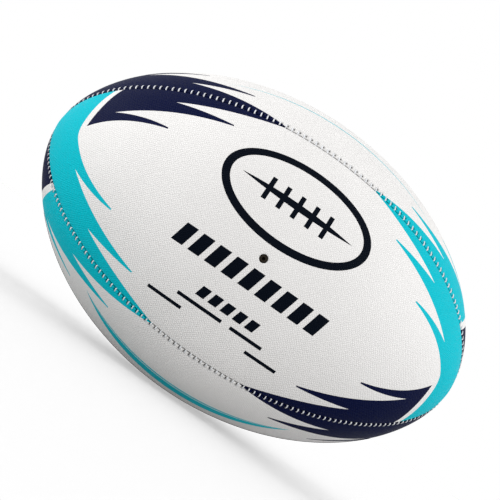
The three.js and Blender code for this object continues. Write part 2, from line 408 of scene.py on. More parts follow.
SEAM_DIP = 0.22
DIP_WIDTH = 4.5
ROLL_DROP = 1.15
PUCKER = 0.10
PUCKER_WIDTH = 1.8
GROOVE_SHADE = 0.045         # painted shade: how dark the rubber is painted down in a groove or a needle slit
GROOVE_WIDTH = 0.44
PULLED_TOGETHER = 0.85       # reach along the seam of a stitch that closes the groove
SLIT_DEPTH = 0.9
SLIT_AFTER_STITCH = 0.78     # along the seam from a stitch to its slit
VALVE_DIMPLE = 0.35


def smooth(value):
    """Soft step from 0 to 1."""
    value = np.clip(value, 0, 1)
    return value * value * (3 - 2 * value)


def stitch_places(sewing, seam):
    """Where along a seam its stitches stand."""
    pitch = seam.pitch / MM * sewing["pitch"]
    count = int(STITCHED / pitch)
    return (np.arange(1 - count, count - 1) + sewing["start"]) * pitch


def from_stitch(panel, s, w, seam):
    """Distance along the nearer seam from its nearest stitch, negative to the left."""
    below, above = (SEWING[name] for name in panel["sewn"])
    pitch = seam.pitch / MM * np.where(w > 0, above["pitch"], below["pitch"])
    start = pitch * (np.where(w > 0, above["start"], below["start"]) - 0.5)
    return (s - start) % pitch - pitch / 2


def full_size(s):
    """1 in the middle of a seam, 0 at its ends, where the stitches are finer."""
    return smooth((OUTLINE.radius(s) - 12) / 45)


def pulled_together(s, away):
    """1 at a stitch, 0 where the groove between two skins gapes."""
    return smooth((PULLED_TOGETHER - np.abs(away)) / 0.5) * (np.abs(s) < STITCHED)


def slit_coordinate(panel, s, away, seam_distance):
    """0 in the middle of the nearest needle slit, 1 on its rim."""
    below, above = panel["sewn"]
    if below != above:
        return np.full_like(s, 9.0)
    sewing = SEWING[above]
    near, far, half_width = sewing["slit"]
    along = away - sewing["run"] * SLIT_AFTER_STITCH
    across = (seam_distance - (near + far) / 2) / ((far - near) / 2)
    return np.where(np.abs(s) < STITCHED, np.hypot(along / half_width, across), 9.0)


def skin_height(panel, s, w, skin, seam):
    """Height of the rubber over the plain outline of the ball."""
    half = OUTLINE.half_width(s)
    seam_distance = half - np.abs(w)
    fade = smooth(half / 6)
    away = from_stitch(panel, s, w, seam)
    roll_width = skin.roll / MM
    roll = np.clip((roll_width - seam_distance) / (roll_width - 0.8 * SEAM_EDGE), 0, 1)
    drop = ROLL_DROP * (1 - 0.6 * pulled_together(s, away))
    height = -drop * fade * (1 - np.sqrt(1 - 0.97 * roll ** 2))
    height -= SEAM_DIP * fade * np.exp(-((seam_distance / DIP_WIDTH) ** 2))
    height -= PUCKER * fade * np.exp(-away ** 2) * np.exp(-((seam_distance / PUCKER_WIDTH) ** 2))
    height -= SLIT_DEPTH * smooth((1.02 - slit_coordinate(panel, s, away, seam_distance)) / 0.5)
    if has_valve(panel):
        height -= VALVE_DIMPLE * (1 - smooth((from_valve(s, w) - VALVE_HOLE) / 0.7))
    return height


def skin_shade(panel, s, w, seam):
    """1 on the open rubber, low down in the seams and in the needle slits, where the colour takes painted
    shade.
    """
    seam_distance = OUTLINE.half_width(s) - np.abs(w)
    away = from_stitch(panel, s, w, seam)
    groove = 1 - smooth((seam_distance - SEAM_EDGE) / (GROOVE_WIDTH - SEAM_EDGE))
    # Painted shade in the groove, lighter where a stitch pulls it together and toward the seams' ends.
    unshaded_share = 1 - groove * (1 - 0.85 * pulled_together(s, away))
    unshaded_share *= smooth((slit_coordinate(panel, s, away, seam_distance) - 0.8) / 0.34)
    return 1 - (1 - GROOVE_SHADE) * (1 - unshaded_share) * (0.5 + 0.5 * full_size(s))


# ---- Skins ----

SEAM_STEP = 0.66
PRINT_STEP = 1.6
EDGE_ROWS = (SEAM_EDGE, 0.26, 0.5, 0.8, 1.15, 1.7, 2.5, 3.6)
FINE_ROWS = 5
LATTICE = 2.8
INNER_LATTICE = 7.0
INNER_STEPS = 72
RING_SIDES = 32
VALVE_RINGS = (0, 0.25, 0.7, 1.6)
# Section of a turned edge, from the outer face round to the inner face: inset from the seam, its
# largest share of the panel's half width, and depth.
TURNED_EDGE = (
    (0, 0, SEAM_ALLOWANCE),
    (1.0, 0.3, SEAM_ALLOWANCE),
    (1.0, 0.3, FOLD_DEPTH),
    (1.9, 0.5, SKIN_THICKNESS),
)


class FlatMesh:
    """Points and fixed edges of a panel laid out flat, turned into triangles."""

    def __init__(self):
        self.points = []
        self.edges = []

    def add(self, points):
        first = len(self.points)
        self.points.extend(map(tuple, points))
        return list(range(first, len(self.points)))

    def add_line(self, points, closed=True):
        made = self.add(points)
        self.edges.extend(zip(made, made[1:]))
        if closed:
            self.edges.append((made[-1], made[0]))
        return made

    def triangles(self):
        """Flat points, triangles and for each point the number of an input point."""
        flat = [Vector(p) for p in self.points]
        points, _, faces, origin, _, _ = delaunay_2d_cdt(flat, self.edges, [], 0, 1e-5)
        source = np.array([o[0] if o else -1 for o in origin])
        return np.array([tuple(p) for p in points]), np.array(faces), source


def hexagon_lattice(step, margin):
    """Evenly spread points over a panel, up to a margin along its seams."""
    rise = step * 0.866
    rows = np.arange(-int(RADIUS * HALF_PANEL / rise), int(RADIUS * HALF_PANEL / rise) + 1)
    columns = np.arange(-int(TIP / step), int(TIP / step) + 1)
    grid_c, grid_r = np.meshgrid(columns, rows)
    s = step * (grid_c + 0.5 * (grid_r % 2))
    points = np.stack([s.ravel(), (rise * grid_r).ravel()], axis=-1)
    return points[OUTLINE.half_width(points[:, 0]) - np.abs(points[:, 1]) > margin]


def away_from(points, others, distance):
    """Drops points that are closer to any of the others than a distance."""
    if len(others) == 0 or len(points) == 0:
        return points
    tree = KDTree(len(others))
    for index, (s, w) in enumerate(others):
        tree.insert((s, w, 0), index)
    tree.balance()
    return points[[tree.find((s, w, 0))[2] >= distance for s, w in points]]


def edge_line(distance, s):
    """Points of both long sides of a panel at a distance from the seam."""
    w = OUTLINE.half_width(s) - distance
    wide = w > 0.3
    s, w = s[wide], w[wide]
    return np.stack([np.concatenate([s, s]), np.concatenate([w, -w])], axis=-1)


def slit_rings(panel, seam):
    """Rim points of every needle slit along both seams of a top or bottom panel."""
    below, above = panel["sewn"]
    if below != above:
        return []
    sewing = SEWING[above]
    rings = []
    turn = full_turn(10)
    near, far, half_width = sewing["slit"]
    distance = (near + far) / 2 + (far - near) / 2 * np.sin(turn)
    for place in stitch_places(sewing, seam):
        s = place + sewing["run"] * SLIT_AFTER_STITCH + half_width * np.cos(turn)
        w = OUTLINE.half_width(s) - distance
        rings.append(np.stack([s, w], axis=-1))
        rings.append(np.stack([s, -w], axis=-1))
    return rings


def add_print(flat, shapes):
    """Adds the outlines of the print where they cross the panel, and gives their points."""
    drawn = []
    for outline, _ in shapes:
        near = np.abs(outline[:, 1]) < OUTLINE.half_width(outline[:, 0]) + 3
        for a, b, a_near, b_near in zip(outline, np.roll(outline, -1, 0), near, np.roll(near, -1)):
            if a_near and b_near:
                count = max(1, int(math.ceil(np.hypot(*(b - a)) / PRINT_STEP)))
                line = a + (b - a) * np.linspace(0, 1, count + 1)[:, None]
                flat.add_line(line, closed=False)
                drawn.append(line)
    return np.concatenate(drawn)


def add_rings(flat, panel, seam):
    """Adds the needle slits, each with two rings for its walls, and the rings round the valve."""
    rings = slit_rings(panel, seam)
    for ring in rings:
        middle = ring.mean(axis=0)
        flat.add_line(ring)
        flat.add(middle + (ring - middle) * 0.72)
        flat.add(middle + (ring - middle)[::2] * 0.3)
    if has_valve(panel):
        for wider in VALVE_RINGS:
            rings.append(valve_ring(VALVE_HOLE + wider))
            flat.add_line(rings[-1])
    return np.concatenate([np.zeros((0, 2)), *rings])


def outer_face_flat(panel, shapes, seam):
    """The outer face of a skin laid out flat: its points and triangles."""
    flat = FlatMesh()
    steps = np.linspace(-TIP, TIP, int(2 * TIP / SEAM_STEP))
    side = np.stack([steps[1:-1], OUTLINE.half_width(steps[1:-1]) - SEAM_EDGE], axis=-1)
    flat.add_line(np.concatenate([[(-TIP, 0)], side, [(TIP, 0)], side[::-1] * (1, -1)]))
    drawn = add_print(flat, shapes)
    rings = add_rings(flat, panel, seam)
    for number, distance in enumerate(EDGE_ROWS[1:], 1):
        row = edge_line(distance, steps if number < FINE_ROWS else steps[number % 2::2])
        flat.add(away_from(away_from(row, drawn, 0.2), rings, 0.25))
    lattice = hexagon_lattice(LATTICE, EDGE_ROWS[-1] + 0.9)
    flat.add(away_from(away_from(lattice, drawn, 0.9), rings, 1.0))

    points, faces, _ = flat.triangles()
    middle = points[faces].mean(axis=1)
    border = np.interp(middle[:, 0], [-TIP, *side[:, 0], TIP], [0, *side[:, 1], 0])
    kept = np.abs(middle[:, 1]) < border
    if has_valve(panel):
        kept &= from_valve(*middle.T) > VALVE_HOLE * 0.99
    return points, faces[kept]


def without_unused(points, faces):
    used, faces = np.unique(faces, return_inverse=True)
    return points[used], faces.reshape(-1, 3)


def border_points(faces):
    """Numbers of the points on an open border."""
    edges = np.sort(np.concatenate([faces[:, [0, 1]], faces[:, [1, 2]], faces[:, [2, 0]]]), axis=1)
    unique, count = np.unique(edges, axis=0, return_counts=True)
    return np.unique(unique[count == 1])


def zip_rows(first, first_s, second, second_s):
    """Triangles between two rows of points that start and end together."""
    i, j, faces = 0, 0, []
    while i + 1 < len(first) or j + 1 < len(second):
        step_first = j + 1 >= len(second) or (i + 1 < len(first) and first_s[i + 1] <= second_s[j + 1])
        if step_first:
            faces.append((first[i], first[i + 1], second[j]))
            i += 1
        else:
            faces.append((first[i], second[j + 1], second[j]))
            j += 1
    return [face for face in faces if len(set(face)) == 3]


class SkinMesh:
    """Vertices and triangles of one skin, placed from flat points."""

    def __init__(self, panel):
        self.panel = panel
        self.parts = []
        self.count = 0
        self.faces = []

    def place(self, flat, height):
        """Where flat points lie at a height over the ball's plain outline."""
        angle = flat[:, 1] / OUTLINE.radius(flat[:, 0])
        return OUTLINE.point(flat[:, 0], self.panel["angle"] + angle, height)

    def keep(self, vertices):
        """Takes vertices in and gives their numbers."""
        self.parts.append(vertices)
        self.count += len(vertices)
        return list(range(self.count - len(vertices), self.count))

    def add_outer(self, flat, skin, seam):
        """Adds the outer face's vertices and gives the normals of its relief."""

        def surface(points):
            return self.place(points, skin_height(self.panel, points[:, 0], points[:, 1], skin, seam))

        step = 0.02
        inward = np.where(np.abs(flat[:, 0]) < TIP - 1, 1.0, 0.0)
        along = surface(flat + np.stack([step * inward, 0 * inward], -1)) - surface(flat - (step, 0))
        across = surface(flat + (0, step)) - surface(flat - (0, step))
        normals = np.cross(across, along)
        normals /= np.maximum(np.linalg.norm(normals, axis=1, keepdims=True), 1e-12)
        outer = surface(flat)
        self.keep(outer)
        return normals * np.sign(np.einsum("ij,ij->i", normals, outer * (0.3, 1, 1)))[:, None]

    def turn_in(self, flat, border):
        """Adds the turned edges on from the outer border and gives the rows that they end in."""
        s = np.linspace(-TIP, TIP, INNER_STEPS + 1)
        half = OUTLINE.half_width(s[1:-1])
        tips = {}
        for depth in (SEAM_ALLOWANCE, FOLD_DEPTH, SKIN_THICKNESS):
            tips[depth] = self.keep(self.place(np.array([(-TIP, 0.0), (TIP, 0.0)]), -depth))
        ends = border[np.abs(flat[border, 1]) <= 1e-7]
        rows = []
        for sign in (1, -1):
            edge = np.concatenate([border[flat[border, 1] * sign > 1e-7], ends])
            edge = edge[np.argsort(flat[edge, 0])]
            previous, previous_s = list(edge), flat[edge, 0]
            for inset, share, depth in TURNED_EDGE:
                w = sign * (half - (SEAM_EDGE / 2 + np.minimum(inset, half * share)))
                row = np.stack([s[1:-1], w], axis=-1)
                numbers = [tips[depth][0], *self.keep(self.place(row, -depth)), tips[depth][1]]
                made = zip_rows(previous, previous_s, numbers, s)
                self.faces.extend(made if sign > 0 else [face[::-1] for face in made])
                previous, previous_s = numbers, s
            rows.append((previous, row))
        return rows

    def close(self, rows, hole, flat):
        """Adds the inner face, welded to the turned edges, and the wall of the valve hole."""
        (upper, upper_row), (lower, lower_row) = rows
        loop = np.concatenate([[(-TIP, 0)], upper_row, [(TIP, 0)], lower_row[::-1]])
        welded = np.array([*upper, *lower[1:-1][::-1]])
        inner = FlatMesh()
        inner.add_line(loop)
        lattice = hexagon_lattice(INNER_LATTICE, 5)
        if has_valve(self.panel):
            ring = valve_ring(VALVE_HOLE)
            lattice = away_from(lattice, ring, 3)
            inner.add_line(ring)
        inner.add(lattice)
        points, faces, source = inner.triangles()
        middle = points[faces].mean(axis=1)
        kept = inside(loop, middle)
        if has_valve(self.panel):
            kept &= from_valve(*middle.T) > VALVE_HOLE * 0.99
        on_edge = (source >= 0) & (source < len(welded))
        number = np.zeros(len(points), dtype=int)
        number[on_edge] = welded[source[on_edge]]
        number[~on_edge] = self.keep(self.place(points[~on_edge], -SKIN_THICKNESS))
        if has_valve(self.panel):
            rim = from_valve(*points.T) < VALVE_HOLE + 0.1
            outer_rim = round_order(hole, flat[hole])
            inner_rim = round_order(number[rim], points[rim])
            for a, b, c, d in zip(outer_rim, np.roll(outer_rim, -1), np.roll(inner_rim, -1), inner_rim):
                self.faces.extend([(a, b, c), (a, c, d)])
        self.faces.extend(number[faces[kept]][:, ::-1])


def round_order(numbers, points):
    """Numbers of points put in their order round the valve's axis."""
    return numbers[np.argsort(np.arctan2(points[:, 1] - VALVE_Z, points[:, 0] - VALVE_X))]


def build_skin(name, skin, seam, materials):
    """One rubber skin with rolled edges, seam allowance, print and, at the front, its valve hole."""
    panel = PANELS[name]
    shapes = print_shapes(panel)
    flat, faces = without_unused(*outer_face_flat(panel, shapes, seam))
    ink = np.zeros(len(faces), dtype=int)
    middle = flat[faces].mean(axis=1)
    for outline, colour in shapes:
        ink[inside(outline, middle)] = list(INK_ROUGHNESS).index(colour)

    mesh = SkinMesh(panel)
    normals = mesh.add_outer(flat, skin, seam)
    border = border_points(faces)
    at_hole = from_valve(*flat[border].T) < VALVE_HOLE + 0.1
    rows = mesh.turn_in(flat, border[~at_hole])
    mesh.close(rows, border[at_hole], flat)

    # Painted shade: the turned edges and inner face take the full groove shade, the outer face the painted
    # shade of its seams and slits.
    grip = np.full((mesh.count, 3), GROOVE_SHADE)
    diagonal = np.array([(1, 1), (-1, 1)]) * MM / math.sqrt(2)
    grip[:len(flat), :2] = flat @ diagonal
    grip[:len(flat), 2] = skin_shade(panel, flat[:, 0], flat[:, 1], seam)
    make_piece(
        f"{name}_rubber_skin", np.concatenate(mesh.parts), np.concatenate([faces, mesh.faces]), materials,
        node=f"panel_{name}",
        face_materials=np.concatenate([ink, np.zeros(len(mesh.faces), dtype=int)]),
        smooth_faces=len(faces), normals=normals, grip=grip,
    )


# ---- Making meshes ----


def outward(vertices, faces):
    """Faces turned so that the closed mesh has its outside out."""
    a, b, c = (vertices[faces[:, i]] for i in range(3))
    volume = np.einsum("ij,ij->", a, np.cross(b, c))
    return faces if volume > 0 else faces[:, ::-1]


def add_object(name, data):
    """Puts a new object into the scene."""
    made = bpy.data.objects.new(name, data)
    bpy.context.scene.collection.objects.link(made)
    return made


def make_piece(name, vertices, faces, materials, node, face_materials=None,
               smooth_faces=None, normals=None, grip=None):
    """Makes the Blender object of one piece and joins it to the frame."""
    mesh = bpy.data.meshes.new(name)
    mesh.from_pydata((vertices * MM).tolist(), [], faces.tolist())
    for material in materials:
        mesh.materials.append(material)
    if face_materials is not None:
        mesh.polygons.foreach_set("material_index", face_materials.astype(np.int32))
    mesh.polygons.foreach_set("use_smooth", np.ones(len(faces), dtype=bool))
    mesh.update()
    # The grip attribute carries the place on the grip's grid and, in its last value, a painted-shade factor.
    if grip is not None:
        mesh.attributes.new("grip", "FLOAT_VECTOR", "POINT").data.foreach_set("vector", grip.ravel())
    if normals is not None:
        flat_normals = np.zeros(3 * len(mesh.polygons))
        mesh.polygons.foreach_get("normal", flat_normals)
        corner_normals = np.repeat(flat_normals.reshape(-1, 3), 3, axis=0)
        corner_normals[:3 * smooth_faces] = normals[faces[:smooth_faces].ravel()]
        mesh.normals_split_custom_set(corner_normals.tolist())
    piece = add_object(name, mesh)
    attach(piece, "root")
    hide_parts(node)
    return piece


# ---- Plies, patch, bladder and valve ----


def grid_faces(rows, columns, closed):
    """Triangles of a grid of points, closed round its columns if asked."""
    wrap = columns if closed else columns - 1
    faces = []
    for i in range(rows - 1):
        for j in range(wrap):
            a, b = i * columns + j, i * columns + (j + 1) % columns
            faces.extend([(a, b, b + columns), (a, b + columns, a + columns)])
    return faces


def stations_to(end, count):
    """Places along the ball up to both ends, closer together toward them."""
    return -end * np.cos(np.linspace(0, math.pi, count))


def ring_faces(rows, sides):
    """Triangles of a grid of points closed both ways."""
    return np.array(grid_faces(rows + 1, sides, True)) % (rows * sides)


def build_ply(name, index, material):
    """One woven ply: a sheet of even thickness, cut back from the seams, with square edges."""
    panel = PANELS[name]
    top = FIRST_PLY_DEPTH + index * PLY_STEP
    stations, cells = 56, 14
    s = stations_to(OUTLINE.where_radius(1.2), stations)
    half = OUTLINE.half_width(s)
    reach = half - np.minimum(PLY_INSET, half * 0.7)
    across = np.linspace(-1, 1, cells + 1)
    loop_w = np.concatenate([across, across[::-1]])
    loop_depth = np.concatenate([np.full(cells + 1, top), np.full(cells + 1, top + PLY_THICKNESS)])
    grid_s = np.repeat(s[:, None], len(loop_w), axis=1)
    angle = panel["angle"] + reach[:, None] * loop_w / OUTLINE.radius(s)[:, None]
    vertices = OUTLINE.point(grid_s, angle, -np.broadcast_to(loop_depth, grid_s.shape)).reshape(-1, 3)
    size = len(loop_w)
    faces = grid_faces(stations, size, True)
    for j in range(cells):
        a, b, c, d = j, j + 1, size - 2 - j, size - 1 - j
        last = (stations - 1) * size
        faces.extend([(a, c, b), (a, d, c), (last + a, last + b, last + c), (last + a, last + c, last + d)])
    faces = np.array(faces)
    piece = make_piece(
        f"{name}_{PLY_NAMES[index]}_ply_cloth", vertices, outward(vertices, faces), [material],
        node=f"ply_{PLY_NAMES[index]}_{name}",
    )
    if has_valve(panel):
        cut_hole(piece, VALVE_HOLE)


def cutter(radius):
    """Round cutter on the valve's axis, through the front wall only."""
    mesh = bpy.data.meshes.new("cutter")
    ring = valve_ring(radius)
    ends = [np.stack([ring[:, 0], np.full(RING_SIDES, y), ring[:, 1]], -1)
            for y in (-RADIUS - CUTTER_REACH, -RADIUS + CUTTER_REACH)]
    near = list(range(RING_SIDES))
    sides = [(j, j + RING_SIDES, (j + 1) % RING_SIDES + RING_SIDES, (j + 1) % RING_SIDES) for j in near]
    faces = [near, [j + RING_SIDES for j in near[::-1]], *sides]
    mesh.from_pydata((np.concatenate(ends) * MM).tolist(), [], faces)
    return add_object("cutter", mesh)


def cut_hole(piece, radius):
    """Cuts a round hole on the valve's axis into a piece and keeps the result in its mesh."""
    tool = cutter(radius)
    modifier = piece.modifiers.new("cut", "BOOLEAN")
    modifier.operation = "DIFFERENCE"
    modifier.object = tool
    modifier.solver = "EXACT"
    graph = bpy.context.evaluated_depsgraph_get()
    result = bpy.data.meshes.new_from_object(piece.evaluated_get(graph))
    piece.modifiers.clear()
    old = piece.data
    piece.data = result
    bpy.data.meshes.remove(old)
    bpy.data.meshes.remove(tool.data)


def build_patch(material):
    """Round cloth patch behind the front plies, with the nozzle's hole."""
    sides = 48
    radii = np.linspace(VALVE_HOLE, PATCH_RADIUS, 7)
    turn = full_turn(sides)
    profile = [(r, PATCH_DEPTH) for r in radii] + [(r, PATCH_DEPTH + PLY_THICKNESS) for r in radii[::-1]]
    rows = []
    for radius, depth in profile:
        s = VALVE_X + radius * np.cos(turn)
        w = VALVE_Z + radius * np.sin(turn)
        rows.append(OUTLINE.point(s, w / OUTLINE.radius(s), np.full(sides, -depth)))
    vertices = np.concatenate(rows)
    make_piece("valve_patch_cloth", vertices, outward(vertices, ring_faces(len(rows), sides)), [material],
               node="valve_patch")


def build_bladder(material):
    """Air bladder: a thin closed balloon with one hole for the valve's boss."""
    stations, sides = 64, 72
    vertices, faces = [], []
    for depth in (BLADDER_DEPTH, BLADDER_DEPTH + BLADDER_THICKNESS):
        first = len(vertices)
        s = stations_to(OUTLINE.where_radius(1.5), stations)
        grid_s, angle = np.meshgrid(s, full_turn(sides), indexing="ij")
        points = OUTLINE.point(grid_s, angle, np.full_like(grid_s, -depth)).reshape(-1, 3)
        vertices.extend(points)
        vertices.extend([(-HALF_LENGTH + depth, 0, 0), (HALF_LENGTH - depth, 0, 0)])
        left, right = first + len(points), first + len(points) + 1
        wall = [tuple(first + k for k in face) for face in grid_faces(stations, sides, True)]
        last = first + (stations - 1) * sides
        for j in range(sides):
            k = (j + 1) % sides
            wall.append((left, first + k, first + j))
            wall.append((right, last + j, last + k))
        wall = outward(np.array(vertices), np.array(wall))
        faces.append(wall if depth == BLADDER_DEPTH else wall[:, ::-1])
    piece = make_piece("air_bladder", np.array(vertices), np.concatenate(faces), [material],
                       node="bladder")
    cut_hole(piece, BOSS_HOLE)


def rounded(profile, radius=0.18, steps=4):
    """Closed turning profile with every corner rounded off."""
    result = []
    count = len(profile)
    for i in range(count):
        before, corner, after = (np.array(profile[k % count], dtype=float) for k in (i - 1, i, i + 1))
        back, forth = before - corner, after - corner
        if corner[0] < 1e-9:
            result.append(corner)
            continue
        reach = min(radius, 0.4 * np.hypot(*back), 0.4 * np.hypot(*forth))
        start = corner + back / np.hypot(*back) * reach
        end = corner + forth / np.hypot(*forth) * reach
        result.extend(bend(start, corner, end, steps))
        result.append(end)
    return np.array(result)


def build_turned(name, profile, material, node, sides=48):
    """Piece turned on the valve's axis, from (radius, depth under the ball's surface) points."""
    turn = full_turn(sides)
    radius, depth = profile.T
    vertices = np.stack([
        VALVE_X + radius[:, None] * np.cos(turn),
        np.repeat((depth - RADIUS)[:, None], sides, axis=1),
        VALVE_Z + radius[:, None] * np.sin(turn),
    ], axis=-1).reshape(-1, 3)
    hollow = radius.min() > 1e-6
    faces = ring_faces(len(profile), sides) if hollow else np.array(grid_faces(len(profile), sides, True))
    vertices, number = np.unique(vertices.round(9), axis=0, return_inverse=True)
    faces = number.ravel()[faces]
    solid = (faces[:, 0] != faces[:, 1]) & (faces[:, 1] != faces[:, 2]) & (faces[:, 2] != faces[:, 0])
    faces = outward(vertices, faces[solid])
    make_piece(name, vertices, faces, [material], node=node)


def build_valve(body, plug):
    """Valve body with nozzle, boss, dished flange and plug chamber, and the plug in it."""
    housing = [
        (0.8, 0.9), (2.0, 0.9), (2.0, 4.1), (3.8, 4.1), (3.8, 5.25), (9.0, 6.0), (9.0, 7.0),
        (3.8, 6.25), (3.8, 13.0), (1.9, 13.0), (1.9, 4.1), (1.6, 2.2), (0.8, 2.2),
    ]
    build_turned("valve_body", rounded(housing), body, "valve_housing")
    stopper = [(0, 3.9), (1.6, 3.9), (1.6, 13.3), (2.8, 13.3), (2.8, 14.3), (0, 14.3)]
    build_turned("valve_needle_plug", rounded(stopper), plug, "valve_plug")


# ---- Stitching ----

# One stitch: along the seam, over the panel from the seam, height, thickness and painted brightness, low as
# painted shade where the strand sinks under.
STITCH = (
    (-0.60, -0.30, -1.60, 0.8, 0.3),
    (-0.30, -0.60, -0.80, 0.9, 0.6),
    (-0.10, -0.58, -0.05, 1.0, 0.95),
    (0.00, -0.28, 0.24, 1.1, 1.0),
    (0.00, 0.25, 0.34, 1.1, 1.0),
    (0.00, 0.90, 0.30, 1.05, 1.0),
    (0.02, 1.55, 0.22, 0.95, 1.0),
    (0.06, 2.10, 0.12, 0.85, 0.9),
    (0.18, 2.50, 0.00, 0.7, 0.7),
    (0.45, 2.72, -0.12, 0.6, 0.6),
    (0.80, 2.70, -0.30, 0.6, 0.5),
    (1.15, 2.35, -0.90, 0.6, 0.4),
    (1.50, 1.60, -1.90, 0.7, 0.3),
    (2.60, 0.20, -1.90, 0.8, 0.3),
)
THREAD_SIDES = 8
THREAD_TWIST = 1.5           # radians per millimetre
STRAND_DENT = 0.18           # how much thinner the thread is between its two strands


def build_stitching(name, settings, material):
    """One twisted thread that crosses its seam in every stitch."""
    seam = SEAMS[name]
    sewing = SEWING[seam["over"]]
    path = []
    for place in stitch_places(sewing, settings)[::sewing["run"]]:
        for along, over, height, thickness, painted_brightness in STITCH:
            over *= sewing["reach"]
            s = place + sewing["run"] * along + sewing["lean"] * over
            path.append((s, over, height, thickness * sewing["reach"] ** 0.5, painted_brightness))
    s, over, height, thickness, painted_brightness = np.array(path).T
    full = full_size(s)
    height -= 0.2 * (1 - full)
    thickness *= 0.72 + 0.28 * full
    # Painted shade: the thread is made darker toward the seams' ends.
    painted_brightness *= 0.8 + 0.2 * full
    angle = seam["angle"] + seam["toward"] * over / OUTLINE.radius(s)
    points = OUTLINE.point(s, angle, height - SEAM_DIP)
    tangents = np.gradient(points, axis=0)
    tangents /= np.linalg.norm(tangents, axis=1, keepdims=True)
    radius = settings.thread / MM / 2
    side = np.cross(tangents[0], (0, 0, 1))
    vertices = []
    turn = full_turn(THREAD_SIDES)
    twist = 0.0
    for k, (point, tangent) in enumerate(zip(points, tangents)):
        side = side - tangent * np.dot(side, tangent)
        side /= np.linalg.norm(side)
        up = np.cross(tangent, side)
        if k:
            twist += THREAD_TWIST * np.linalg.norm(point - points[k - 1])
        reach = radius * thickness[k] * (1 - STRAND_DENT + STRAND_DENT * np.abs(np.cos(turn)))
        u, v = reach * np.cos(turn), reach * np.sin(turn)
        c, d = math.cos(twist), math.sin(twist)
        vertices.append(point + np.outer(c * u - d * v, side) + np.outer(d * u + c * v, up))
    faces = grid_faces(len(points), THREAD_SIDES, True)
    last = (len(points) - 1) * THREAD_SIDES
    for j in range(1, THREAD_SIDES - 1):
        faces.extend([(0, j + 1, j), (last, last + j, last + j + 1)])
    vertices = np.concatenate(vertices)
    # The grip attribute's last value carries the thread's painted shade.
    grip = np.repeat(painted_brightness, THREAD_SIDES)[:, None] * (0, 0, 1)
    make_piece(
        f"{name}_stitching", vertices, outward(vertices, np.array(faces)), [material],
        node=f"seam_thread_{name}", grip=grip,
    )


# ---- Finishes ----


# Sockets of a mix node that mixes colours.
MIX_FACTOR, MIX_A, MIX_B, MIX_RESULT = 0, 6, 7, 2


class Nodes:
    """Short way to lay out a material's nodes."""

    def __init__(self, name):
        self.material = bpy.data.materials.new(name)
        self.material.use_nodes = True
        self.tree = self.material.node_tree
        self.shader = self.tree.nodes["Principled BSDF"]
        self.place = self.add("ShaderNodeTexCoord").outputs["Object"]

    def add(self, kind, inputs=None, **settings):
        node = self.tree.nodes.new(kind)
        for key, value in settings.items():
            setattr(node, key, value)
        for key, value in (inputs or {}).items():
            if isinstance(value, bpy.types.NodeSocket):
                self.tree.links.new(value, node.inputs[key])
            else:
                node.inputs[key].default_value = value
        return node

    def math(self, operation, a, b, clamp=False):
        return self.add("ShaderNodeMath", {0: a, 1: b}, operation=operation, use_clamp=clamp).outputs[0]

    def total(self, *parts):
        """Sum of values, each times its share, at most 1."""
        shares = [self.math("MULTIPLY", value, share) for value, share in parts]
        result = shares[0]
        for share in shares[1:]:
            result = self.math("ADD", result, share, clamp=True)
        return result

    def grip(self):
        """Place on the grip's grid, and the piece's painted shade (1 where there is none), from the piece's
        own attribute.
        """
        vector = self.add("ShaderNodeAttribute", attribute_name="grip").outputs["Vector"]
        return vector, self.add("ShaderNodeSeparateXYZ", {"Vector": vector}).outputs["Z"]

    def darken(self, colour, amount):
        """Multiplies a colour by a grey amount."""
        grey = self.add("ShaderNodeCombineXYZ", {"X": amount, "Y": amount, "Z": amount}).outputs[0]
        inputs = {MIX_FACTOR: 1.0, MIX_A: colour, MIX_B: grey}
        return self.add("ShaderNodeMix", inputs, data_type="RGBA", blend_type="MULTIPLY").outputs[MIX_RESULT]

    def noise(self, scale, detail=3.0, rough=0.5, vector=None):
        inputs = {"Vector": vector or self.place, "Scale": scale, "Detail": detail, "Roughness": rough}
        return self.add("ShaderNodeTexNoise", inputs).outputs["Fac"]

    def ramp(self, value, low, high, to_low=0.0, to_high=1.0):
        inputs = {"Value": value, "From Min": low, "From Max": high, "To Min": to_low, "To Max": to_high}
        return self.add("ShaderNodeMapRange", inputs, clamp=True).outputs["Result"]

    def shade(self, colour, amount, low):
        """The colour made darker where the amount is low."""
        dark = [c * low for c in colour]
        inputs = {MIX_FACTOR: amount, MIX_A: (*dark, 1), MIX_B: (*colour, 1)}
        return self.add("ShaderNodeMix", inputs, data_type="RGBA").outputs[MIX_RESULT]

    def bump(self, height, distance, strength, normal=None):
        inputs = {"Height": height, "Distance": distance, "Strength": strength}
        if normal is not None:
            inputs["Normal"] = normal
        return self.add("ShaderNodeBump", inputs).outputs["Normal"]

    def finish(self, colour, roughness, normal, **sockets):
        self.tree.links.new(colour, self.shader.inputs["Base Color"])
        self.tree.links.new(roughness, self.shader.inputs["Roughness"])
        self.tree.links.new(normal, self.shader.inputs["Normal"])
        for key, value in sockets.items():
            self.shader.inputs[key.replace("_", " ")].default_value = value
        return self.material


